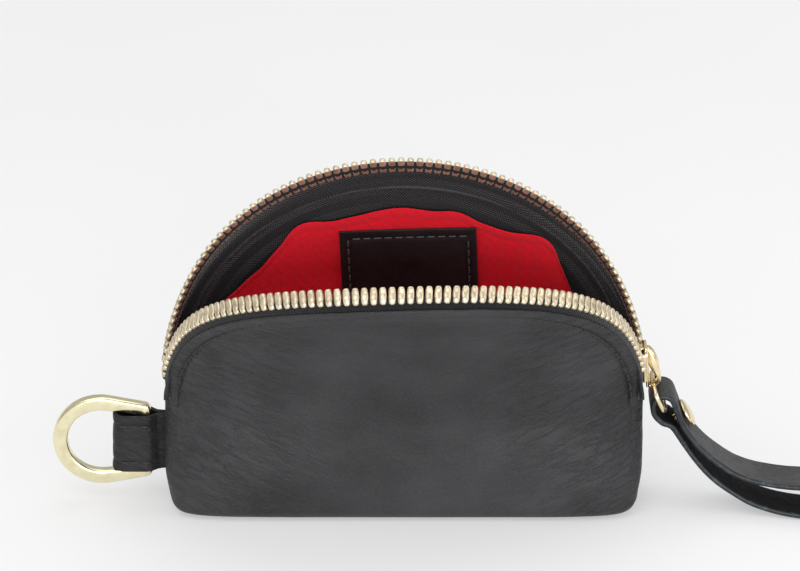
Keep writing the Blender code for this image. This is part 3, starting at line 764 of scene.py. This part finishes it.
def join_all(name, items):
    """Several mesh objects made into one."""
    work = bmesh.new()
    for item in items:
        work.from_mesh(item.data)
    mesh = bpy.data.meshes.new(name)
    work.to_mesh(mesh)
    work.free()
    for material in items[0].data.materials:
        mesh.materials.append(material)
    for item in items:
        bpy.data.objects.remove(item, do_unlink=True)
    made = link(name, mesh)
    mesh.shade_smooth()
    return made


def zip_bead(name, front, material):
    turn = np.linspace(pi - radians(8.0), radians(10.5), 170)
    high, radius = (1.15, 0.85) if front else (1.55, 1.0)
    return sweep(name, band_points(turn, TAPE_FREE + high * MM, 0.0, front), radius * MM, material)


def stitch_row(name, points, length, gap, radius, material):
    """Single stitches laid along a line of points, each dipping in at its ends."""
    points = np.asarray(points, float)
    steps = np.linalg.norm(np.diff(points, axis=0), axis=1)
    run = np.concatenate([[0.0], np.cumsum(steps)])
    count = int(run[-1] // (length + gap))
    made = []
    for i in range(count):
        start = i * (length + gap) + 0.5 * gap
        at = start + length * np.linspace(0.0, 1.0, 7)
        line = np.stack([np.interp(at, run, points[:, k]) for k in range(3)], -1)
        made.append(sweep(f"{name}_{i}", line, radius, material, sides=6))
    return join_all(name, made)


def wall_line(turns, below, lift, front):
    x = (HALF_WIDTH - below) * np.cos(turns)
    z = SEAM_TOP + (ARCH_RISE - below) * np.sin(turns)
    spot = np.stack([x, wall_depth(x, z) + lift, z], -1)
    return on_front(spot) if front else spot


LABEL_WIDTH, LABEL_HEIGHT = 36.0 * MM, 25.0 * MM
LABEL_CENTRE = (1.4 * MM, 64.4 * MM)
LABEL_TURN = radians(2.0)


def label_point(u, w, inset):
    x = LABEL_CENTRE[0] + u * cos(LABEL_TURN) - w * sin(LABEL_TURN)
    z = LABEL_CENTRE[1] + u * sin(LABEL_TURN) + w * cos(LABEL_TURN)
    return np.stack([x, wall_depth(x, z) - inset, z], -1)


def label(material, thread):
    """The sewn label: a leather patch, blank, with a line of stitches inside its edge."""
    u, w = np.meshgrid(np.linspace(-0.5, 0.5, 60) * LABEL_WIDTH,
                       np.linspace(-0.5, 0.5, 42) * LABEL_HEIGHT)
    grid = label_point(u, w, 4.2 * MM)
    border = np.minimum(0.5 * LABEL_WIDTH - np.abs(u), 0.5 * LABEL_HEIGHT - np.abs(w))
    dip = 0.35 * MM * np.exp(-((border - 2.2 * MM) / (0.6 * MM)) ** 2)
    puff = 0.25 * MM * noise_field(grid, 8.0 * MM, 2.2)
    grid[..., 1] += dip + puff
    normal = np.broadcast_to((0.0, -1.0, 0.0), grid.shape)
    patch = slab("label_patch", grid, normal, 0.75 * MM, False, None, material)
    half_u, half_w = 0.5 * LABEL_WIDTH - 2.2 * MM, 0.5 * LABEL_HEIGHT - 2.2 * MM
    corners = [(-half_u, -half_w), (half_u, -half_w), (half_u, half_w), (-half_u, half_w)]
    sides = []
    for i, (start, end) in enumerate(zip(corners, corners[1:] + corners[:1])):
        t = np.linspace(0.0, 1.0, 30)
        line = label_point(start[0] + (end[0] - start[0]) * t,
                           start[1] + (end[1] - start[1]) * t, 4.2 * MM)
        sides.append(stitch_row(f"label_side_{i}", line, 2.1 * MM, 0.7 * MM, 0.26 * MM, thread))
    return patch, join_all("label_stitches", sides)


# ---- slider and pull ring -----------------------------------------------------------
def smooth_path(knots, steps, closed=False):
    """A Catmull-Rom curve through knots."""
    knots = [np.array(k, float) for k in knots]
    count = len(knots)
    spans = count if closed else count - 1
    out = []
    for i in range(spans):
        if closed:
            p0, p1, p2, p3 = (knots[(i + k) % count] for k in (-1, 0, 1, 2))
        else:
            p0, p1, p2, p3 = (knots[min(max(i + k, 0), count - 1)] for k in (-1, 0, 1, 2))
        for step in range(steps):
            t = step / steps
            out.append(0.5 * (2 * p1 + (p2 - p0) * t + (2 * p0 - 5 * p1 + 4 * p2 - p3) * t ** 2
                              + (3 * p1 - p0 - 3 * p2 + p3) * t ** 3))
    if not closed:
        out.append(knots[-1])
    return np.array(out)


def prism(name, outline, low, high, bevel, material, hole=None):
    """A flat part with an outline in Y and Z, from one X to another, its edges rounded."""
    work = bmesh.new()
    rings = [outline] if hole is None else [outline, hole]
    for ring in rings:
        verts = [work.verts.new((low, y, z)) for y, z in ring]
        for i, vert in enumerate(verts):
            work.edges.new((vert, verts[(i + 1) % len(verts)]))
    made = bmesh.ops.triangle_fill(work, use_beauty=True, use_dissolve=True, edges=work.edges[:])
    faces = [item for item in made["geom"] if isinstance(item, bmesh.types.BMFace)]
    pushed = bmesh.ops.extrude_face_region(work, geom=faces, use_keep_orig=True)
    moved = [item for item in pushed["geom"] if isinstance(item, bmesh.types.BMVert)]
    bmesh.ops.translate(work, vec=(high - low, 0.0, 0.0), verts=moved)
    bmesh.ops.recalc_face_normals(work, faces=work.faces)
    mesh = bpy.data.meshes.new(name)
    work.to_mesh(mesh)
    work.free()
    item = link(name, mesh)
    round_edges(item, bevel)
    paint(item, material)
    return item


def round_edges(item, width, segments=3):
    bevel = item.modifiers.new("edges", "BEVEL")
    bevel.width = width
    bevel.segments = segments
    bevel.limit_method = "ANGLE"
    bevel.angle_limit = radians(40.0)
    settle(item)
    item.data.shade_smooth()


SLIDER_LENGTH, SLIDER_WIDTH, SLIDER_HEIGHT = 12.0 * MM, 8.2 * MM, 4.6 * MM
SLIDER_PLATE = 0.9 * MM
ON_SLIDER = (Matrix.Translation((0.0, 0.0, ZIP_CENTRE_Z))
             @ Matrix.Rotation(-SLIDER_TURN, 4, "Y") @ Matrix.Translation((ZIP_RADIUS, 0.0, 0.0)))


def slider_outline():
    half = [(-0.5, 0.19), (-0.4, 0.31), (-0.1, 0.42), (0.25, 0.5), (0.42, 0.46), (0.5, 0.3)]
    side = [(y * SLIDER_WIDTH, z * SLIDER_LENGTH) for z, y in half]
    loop = side + [(-y, z) for y, z in reversed(side)]
    return smooth_path(loop, 4, closed=True)


def slider_parts(material):
    """Two tapered plates with turned-in flanges, joined by the wedge between the chains."""
    top = 0.5 * SLIDER_HEIGHT
    parts = [prism("plate_out", slider_outline(), top - SLIDER_PLATE, top, 0.28 * MM, material),
             prism("plate_in", slider_outline(), -top, SLIDER_PLATE - top, 0.28 * MM, material)]
    loop = slider_outline()
    for sign in (-1.0, 1.0):
        edge = [p for p in loop if sign * p[0] > 0.0 and -0.40 < p[1] / SLIDER_LENGTH < 0.42]
        edge.sort(key=lambda p: p[1])
        inner = [(p[0] - sign * 0.85 * MM, p[1]) for p in reversed(edge)]
        outline = [tuple(p) for p in edge] + inner
        for low, high in ((top - SLIDER_PLATE - 0.75 * MM, top - 0.3 * MM),
                          (0.3 * MM - top, SLIDER_PLATE + 0.75 * MM - top)):
            parts.append(prism("flange", outline, low, high, 0.2 * MM, material))
    post = [(-0.9, 3.2), (-0.5, 2.6), (0.5, 2.6), (0.9, 3.2), (0.8, 5.2), (-0.8, 5.2)]
    parts.append(prism("wedge", [(y * MM, z * MM) for y, z in post],
                       SLIDER_PLATE - top - 0.1 * MM, top - SLIDER_PLATE + 0.1 * MM,
                       0.2 * MM, material))
    body = join_all("slider_shell", parts)
    body.matrix_world = ON_SLIDER
    return body


def slider_crown(material):
    """The solid arched bridge the ring passes under, with its two feet on the outer plate."""
    knots = [(2.2, -5.75, .5), (3.2, -5.85, .5), (4.3, -5.4, .5), (4.95, -4.3, .55),
             (4.75, -2.7, .78), (4.1, -0.8, 1.2), (3.6, 1.2, 1.5), (3.2, 3.1, 1.25),
             (2.7, 4.4, .9), (2.1, 4.9, .6)]
    curve = smooth_path([(out, 0.0, along) for out, along, _ in knots], 6)
    thick = smooth_path([(half, 0.0, 0.0) for _, _, half in knots], 6)[:, 0]
    path = curve * MM
    way = np.gradient(path, axis=0)
    way = unit(way)
    normal = np.stack([way[:, 2], np.zeros(len(path)), -way[:, 0]], -1)
    sides, rings = 20, []
    for i, spot in enumerate(path):
        share = i / (len(path) - 1.0)
        width = (1.3 + 0.75 * sin(pi * share) ** 1.5) * MM
        ring = []
        for k in range(sides):
            a = 2.0 * pi * k / sides
            c, s = squared_circle(a, 0.75)
            ring.append(spot + np.array((0.0, width * c, 0.0)) + normal[i] * thick[i] * MM * s)
        rings.append(ring)
    made = solid("slider_crown", np.array(rings), tube_faces(len(path), sides), material)
    made.matrix_world = ON_SLIDER
    return made


def pull_loop(material):
    """The oblong wire ring between the slider and the strap."""
    middle = 0.5 * (np.array(RING_TOP) + np.array(RING_FOOT))
    up = 0.5 * (np.array(RING_TOP) - np.array(RING_FOOT))
    path = []
    for a in np.linspace(0.0, 2.0 * pi, 72, endpoint=False):
        c, s = squared_circle(a, 0.62)
        path.append(middle + up * s + np.array((0.0, RING_HALF_WIDTH, 0.0)) * c)
    return sweep("ring_wire", path, RING_WIRE, material, sides=16, closed=True)


# ---- strap and rivet ----------------------------------------------------------------
UPPER_LAYER = [(72.4, 0, 28.8), (73.8, 0, 25.2), (75.6, -.2, 22.2), (79, -.9, 18.1),
               (83.5, -1.7, 14.3), (88.8, -2.8, 11.3), (95.4, -4.3, 9.7), (105, -6.2, 9.3),
               (125, -9.2, 9.6), (150, -11.4, 9.8), (180, -12.2, 9.6), (204, -12.2, 8.2)]
FAR_FOLD = [(207.2, -12.2, 7.0), (208.7, -12.2, 4.5), (207.2, -12.2, 2.0)]
LOWER_LAYER = [(204, -12.2, .8), (180, -12.2, .8), (150, -11.4, .8), (125, -9.2, .8),
               (105, -6.2, .95), (94.4, -4.1, 2.8), (88, -2.6, 5.8), (82.6, -1.5, 9.5),
               (78.2, -.7, 14.2), (74.4, -.1, 19.6), (71.3, 0, 24.2)]
RING_LOBE = [(68.5, 0, 25.6), (66.4, 0, 28.2), (66.3, 0, 31.3), (68.3, 0, 33.2), (70.9, 0, 32.3)]


def strap_section(width, thick):
    """The strap's cross-section as (across, through) points, and which sides are painted."""
    half, deep = 0.5 * width, 0.5 * thick
    corner = 0.42 * thick
    points, painted = [], []
    for side in (1.0, -1.0):
        for t in np.linspace(-1.0, 1.0, 11)[:-1]:
            across = -side * t * (half - corner)
            points.append((across, side * (deep + 0.06 * MM * (1.0 - t * t))))
            painted.append(0)
        for k in range(6):
            a = pi * k / 6.0
            points.append((-side * (half - corner + corner * sin(a)), side * deep * cos(a)))
            painted.append(1)
    return points, painted


def strap_loop(face_material, inner_shade_material, edge_material):
    route = smooth_path(UPPER_LAYER + FAR_FOLD + LOWER_LAYER + RING_LOBE, 9, closed=True) * MM
    way = np.roll(route, -1, 0) - np.roll(route, 1, 0)
    flat = way * (1.0, 0.0, 1.0)
    flat = unit(flat)
    outward = np.stack([-flat[:, 2], np.zeros(len(route)), flat[:, 0]], -1)
    section, painted = strap_section(STRAP_WIDTH, STRAP_THICK)
    rings = []
    for i, spot in enumerate(route):
        wave = 0.10 * MM * noise.fractal(Vector(spot) / (6.0 * MM), 1.0, 2.0, 2)
        rings.append([spot + np.array((0.0, across + wave, 0.0)) + outward[i] * (deep + 0.6 * wave)
                      for across, deep in section])
    count, sides = len(route), len(section)
    faces, slots = [], []
    for i in range(count):
        nxt = (i + 1) % count
        for k in range(sides):
            m = (k + 1) % sides
            faces.append([i * sides + k, i * sides + m, nxt * sides + m, nxt * sides + k])
            # slot 1, the inner faces, holds the near-black painted shade between the layers
            slots.append(2 if painted[k] else (0 if section[k][1] > 0.0 else 1))
    made = new_mesh_object("strap_leather", np.array(rings), faces)
    for material in (face_material, inner_shade_material, edge_material):
        made.data.materials.append(material)
    made.data.polygons.foreach_set("material_index", slots)
    face_outward(made)
    return made


def turned(name, profile, material, sides=48):
    """A part turned on the rivet's axis, from (radius, height) pairs in millimetres."""
    axis = Matrix.Rotation(pi / 2.0 - RIVET_TURN, 4, "Y")
    rings = [[(r * MM * cos(a), r * MM * sin(a), h * MM)
              for a in np.linspace(0.0, 2.0 * pi, sides, endpoint=False)] for r, h in profile]
    made = solid(name, np.array(rings), tube_faces(len(profile), sides), material)
    made.matrix_world = Matrix.Translation(RIVET_SPOT) @ axis
    return made


def rivet_parts(material):
    cap = [(2.4, 2.35), (3.3, 2.38), (3.75, 2.55), (3.92, 2.8), (3.8, 3.08), (3.3, 3.35),
           (2.5, 3.58), (1.5, 3.74), (0.6, 3.8)]
    post = [(2.3, -2.75), (2.5, -2.55), (2.2, -2.3), (1.2, -2.1), (1.2, 2.3), (1.6, 2.45)]
    return turned("rivet_dome", cap, material), turned("rivet_shank", post, material, 32)


# ---- side tab and D-ring ------------------------------------------------------------
TAB_LOW, TAB_HIGH = 10.2 * MM, 25.8 * MM
TAB_FOLD_X, TAB_HALF = -77.6 * MM, 3.6 * MM
TAB_STITCHES_IN = 2.4 * MM
D_RADIUS, D_CENTRE_X, D_BAR_X = 9.0 * MM, -80.9 * MM, -69.2 * MM
D_SECTION, D_BAR, D_THICK = 3.9 * MM, 3.4 * MM, 3.0 * MM
D_NARROW = 1.0 * MM             # the limbs draw in by this much towards the bar


def side_tab(material):
    """Folded leather round the D-ring's bar, drawn together where the side seam holds it."""
    neck = [(-62.9, 1.2), (-64.3, 1.35), (-65.7, 1.75), (-67.4, 3.2), (-68.6, 3.6)]
    curve = smooth_path([(x, y, 0.0) for x, y in neck], 5)[:, :2] * MM
    fold = [(TAB_FOLD_X + TAB_HALF + TAB_HALF * cos(a), TAB_HALF * sin(a))
            for a in np.linspace(-0.5 * pi, -1.5 * pi, 21)]
    side = [(x, -y) for x, y in curve]
    route = np.array(side + fold + [(x, -y) for x, y in reversed(side)])
    way = np.gradient(route, axis=0)
    way = unit(way)
    outward = np.stack([way[:, 1], -way[:, 0]], -1)
    outward *= np.sign(-outward[len(side) - 1, 1])
    rows, normals = [], []
    for z in np.linspace(TAB_LOW, TAB_HIGH, 26):
        row = []
        near = min(abs(z - TAB_HIGH + TAB_STITCHES_IN), abs(z - TAB_LOW - TAB_STITCHES_IN))
        flare = 0.5 * MM * (1.0 - (z - TAB_LOW) / (TAB_HIGH - TAB_LOW))
        for (x, y), (nx, ny) in zip(route, outward):
            wave = 0.16 * noise.fractal(Vector((x, y, z)) / (6.0 * MM), 1.0, 2.0, 3)
            out = (wave - 0.24 * np.exp(-(near / (0.6 * MM)) ** 2)) * MM
            reach = smoothstep((-66.0 * MM - x) / (6.0 * MM))
            row.append((x + nx * out - flare * reach, y + ny * out, z))
        rows.append(row)
        normals.append([(nx, ny, 0.0) for nx, ny in outward])
    return slab("tab_leather", np.array(rows), np.array(normals), 1.2 * MM, False, None, material)


def tab_stitches(name, z, material):
    t = np.linspace(0.0, 1.0, 20)
    start, end = -67.8 * MM, TAB_FOLD_X + 1.2 * MM
    bow = np.where(t > 0.8, (t - 0.8) ** 2 * 16.0, 0.0) * MM
    line = np.stack([start + (end - start) * t, bow - TAB_HALF + 0.12 * MM,
                     np.full_like(t, z)], -1)
    return stitch_row(name, line, 2.1 * MM, 0.6 * MM, 0.25 * MM, material)


def d_outline(grow):
    """The D's outline, grown outward: a straight bar and a round belly joined by tangents."""
    radius, share = D_RADIUS + grow, grow / D_SECTION
    x, y = D_BAR_X + (share - 0.5) * D_BAR, D_RADIUS - D_NARROW + 0.65 * grow
    reach = np.hypot(x - D_CENTRE_X, y)
    start = np.arctan2(y, x - D_CENTRE_X) + np.arccos(radius / reach)
    points = [(x, y)]
    for a in np.linspace(start, 2.0 * pi - start, 41):
        points.append((D_CENTRE_X + radius * cos(a), radius * sin(a)))
    return points + [(x, -y)]


def side_d_ring(material):
    """The cast D: a flat section with broad bevels round both its rims."""
    made = prism("d_ring_casting", smooth_corners(d_outline(D_SECTION)), -0.5 * D_THICK,
                 0.5 * D_THICK, 0.75 * MM, material, hole=smooth_corners(d_outline(0.0)))
    made.data.transform(Matrix(((0, 1, 0, 0), (1, 0, 0, 0), (0, 0, 1, 0), (0, 0, 0, 1))))
    made.data.flip_normals()
    made.matrix_world = Matrix.Translation((0.0, 0.0, 0.5 * (TAB_LOW + TAB_HIGH)))
    return made


def smooth_corners(points):
    """Round the two square corners at the ends of a D outline."""
    first, last = np.array(points[0]), np.array(points[-1])
    second, before = np.array(points[1]), np.array(points[-2])
    across = unit(last - first)
    soft = 1.2 * MM
    a = first + unit(second - first) * soft
    b = first + across * soft
    c = last - across * soft
    d = last + unit(before - last) * soft
    mid1 = (a + b) / 2 * 0.45 + first * 0.55
    mid2 = (c + d) / 2 * 0.45 + last * 0.55
    return [tuple(a)] + [tuple(p) for p in points[1:-1]] + [tuple(d), tuple(mid2), tuple(c),
                                                            tuple(b), tuple(mid1)]


# ---- put it together ----------------------------------------------------------------
def place(piece, body, slot_name, *nodes):
    if nodes:
        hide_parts(*nodes)
    if body == "front":
        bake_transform(piece)
    else:
        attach(piece, body)


def build_purse():
    leather = leather_material("grey_leather", (0.017, 0.017, 0.0183), (0.054, 0.054, 0.057))
    label_leather = leather_material("label_leather", (0.008, 0.008, 0.009),
                                     (0.020, 0.020, 0.021), rough=0.45)
    tab_leather = leather_material("tab_leather", (0.009, 0.009, 0.010), (0.026, 0.026, 0.028))
    strap_top = leather_material("strap_leather", (0.050, 0.049, 0.049), (0.108, 0.106, 0.106),
                                 pebble=0.6 * MM, depth=0.05 * MM, rough=0.6)
    # painted shade: the strap's inner faces are near-black for the shade in the gap between its
    # layers
    strap_inside_shade = leather_material("strap_inner_shade", (0.006, 0.006, 0.006), (0.016, 0.015, 0.014),
                                    pebble=0.5 * MM, depth=0.05 * MM, rough=0.8)
    red = twill_material("red_twill", (0.56, 0.001, 0.011), (1.0, 0.012, 0.034),
                         0.62 * MM, 0.12 * MM, 0.08)
    tape = tape_material("zip_tape_weave")
    teeth = metal_material("zip_brass", (0.82, 0.72, 0.53), (0.56, 0.47, 0.32), 0.36, 0.82)
    gold = metal_material("slider_gold", (0.90, 0.77, 0.50), (0.76, 0.61, 0.35), 0.17)
    pale = metal_material("ring_gold", (0.88, 0.82, 0.56), (0.80, 0.72, 0.46), 0.20)
    thread = thread_material("dark_thread", (0.010, 0.010, 0.011), (0.05, 0.05, 0.053))
    label_thread = thread_material("label_thread", (0.020, 0.020, 0.021), (0.10, 0.10, 0.105))
    edge_paint = painted_edge_material("edge_paint")

    for front, side in ((False, "rear"), (True, "front")):
        body = "front" if front else "pouch"
        walls = ("front_panel", "front_flap") if front else ("rear_panel",)
        linings = ("lining_front", "lining_flap") if front else ("lining_rear",)
        place(leather_wall(f"{side}_leather", front, leather), body, "leather", *walls)
        place(lining_wall(f"{side}_lining", front, red), body, "lining", *linings)
        place(zip_tape(f"{side}_tape", front, tape), body, "zip_tape", f"zip_tape_{side}")
        place(zip_chain(f"{side}_teeth", front, teeth), body, "zip_teeth", f"zip_chain_{side}")
        place(zip_bead(f"{side}_bead", front, tape), body, "zip_tape")
        turns = np.linspace(pi - radians(3.0), radians(3.0), 220)
        line = wall_line(turns, STITCHES_BELOW, -0.52 * MM, front)
        place(stitch_row(f"{side}_stitches", line, 2.5 * MM, 0.75 * MM, 0.27 * MM, thread),
              body, "thread", f"edge_thread_{side}")
        top_stop(f"{side}_top_stop", front, teeth, body, f"zip_top_stop_{side}")

    patch, border = label(label_leather, label_thread)
    place(patch, "pouch", "leather", "label")
    place(border, "pouch", "thread")
    place(slider_parts(gold), "slider", "slider_metal", "slider_body")
    place(slider_crown(gold), "slider", "slider_metal", "slider_bridge")
    place(pull_loop(gold), "pull", "slider_metal", "pull_ring")
    place(strap_loop(strap_top, strap_inside_shade, edge_paint), "strap", "strap_leather",
          "wrist_strap")
    dome, shank = rivet_parts(gold)
    place(dome, "strap", "ring_metal", "rivet_cap")
    place(shank, "strap", "ring_metal", "rivet_post")
    place(side_tab(tab_leather), "tab", "leather", "ring_tab")
    place(tab_stitches("tab_stitches_upper", TAB_HIGH - TAB_STITCHES_IN, thread),
          "tab", "thread", "tab_thread_upper")
    place(tab_stitches("tab_stitches_lower", TAB_LOW + TAB_STITCHES_IN, thread),
          "tab", "thread", "tab_thread_lower")
    place(side_d_ring(pale), "side_ring", "ring_metal", "d_ring")


def top_stop(name, front, material, body, node):
    """The little metal block crimped on the bead after the last tooth."""
    edge, way, side = (v[0] for v in band_frame(STOP_TURN, front))
    spots = []
    for along in (-0.2, 3.6):
        for aside in (-1.0, 1.0):
            for run in (-0.9, 0.9):
                around = np.cross(way, side)
                spots.append(edge + way * (TAPE_FREE + along * MM) + side * aside * MM
                             + around * run * MM)
    spots = np.array(spots)
    if front:
        spots = on_front(spots)
    faces = [(0, 1, 3, 2), (4, 6, 7, 5), (0, 4, 5, 1), (2, 3, 7, 6), (0, 2, 6, 4), (1, 5, 7, 3)]
    made = new_mesh_object(name, spots, faces, smooth=False)
    face_outward(made)
    round_edges(made, 0.45 * MM)
    paint(made, material)
    place(made, body, "zip_teeth", node)


def area_light(name, spot, size, power, colour=(1.0, 1.0, 1.0)):
    lamp = bpy.data.lights.new(name, "AREA")
    lamp.shape = "RECTANGLE"
    lamp.size, lamp.size_y = size
    lamp.energy = power
    lamp.color = colour
    made = link(name, lamp)
    made.location = spot
    way = LIGHT_AIM - Vector(spot)
    made.rotation_euler = way.to_track_quat("-Z", "Y").to_euler()


def light_and_shoot():
    world = bpy.data.worlds.new("studio")
    world.use_nodes = True
    world.node_tree.nodes["Background"].inputs["Color"].default_value = (0.985, 0.985, 1.0, 1.0)
    world.node_tree.nodes["Background"].inputs["Strength"].default_value = 0.52
    scene = bpy.context.scene
    scene.world = world
    scene.view_settings.view_transform = "Standard"
    area_light("key", (-0.35, -0.45, 0.95), (0.8, 0.6), 2.6, (1.0, 0.985, 0.96))
    area_light("top", (0.15, 0.25, 1.0), (1.0, 0.8), 2.6)
    area_light("window", (0.1, -1.1, 0.22), (1.0, 0.4), 6.5)
    area_light("right", (0.85, -0.25, 0.45), (0.4, 0.6), 1.6, (0.96, 0.98, 1.0))

    bpy.ops.mesh.primitive_plane_add(size=6.0, location=(0.0, 0.0, -0.0002))
    floor = bpy.context.active_object
    floor.name = "paper_floor"
    paint(floor, floor_material())

    lens = bpy.data.cameras.new("camera")
    lens.lens = CAMERA_LENS
    lens.sensor_width = 36.0
    camera = link("camera", lens)
    way = Vector((0.0, -cos(CAMERA_ELEVATION), sin(CAMERA_ELEVATION)))
    camera.location = CAMERA_TARGET + way * CAMERA_DISTANCE
    camera.rotation_euler = (pi / 2.0 - CAMERA_ELEVATION, 0.0, 0.0)
    scene.camera = camera


build_purse()
light_and_shoot()
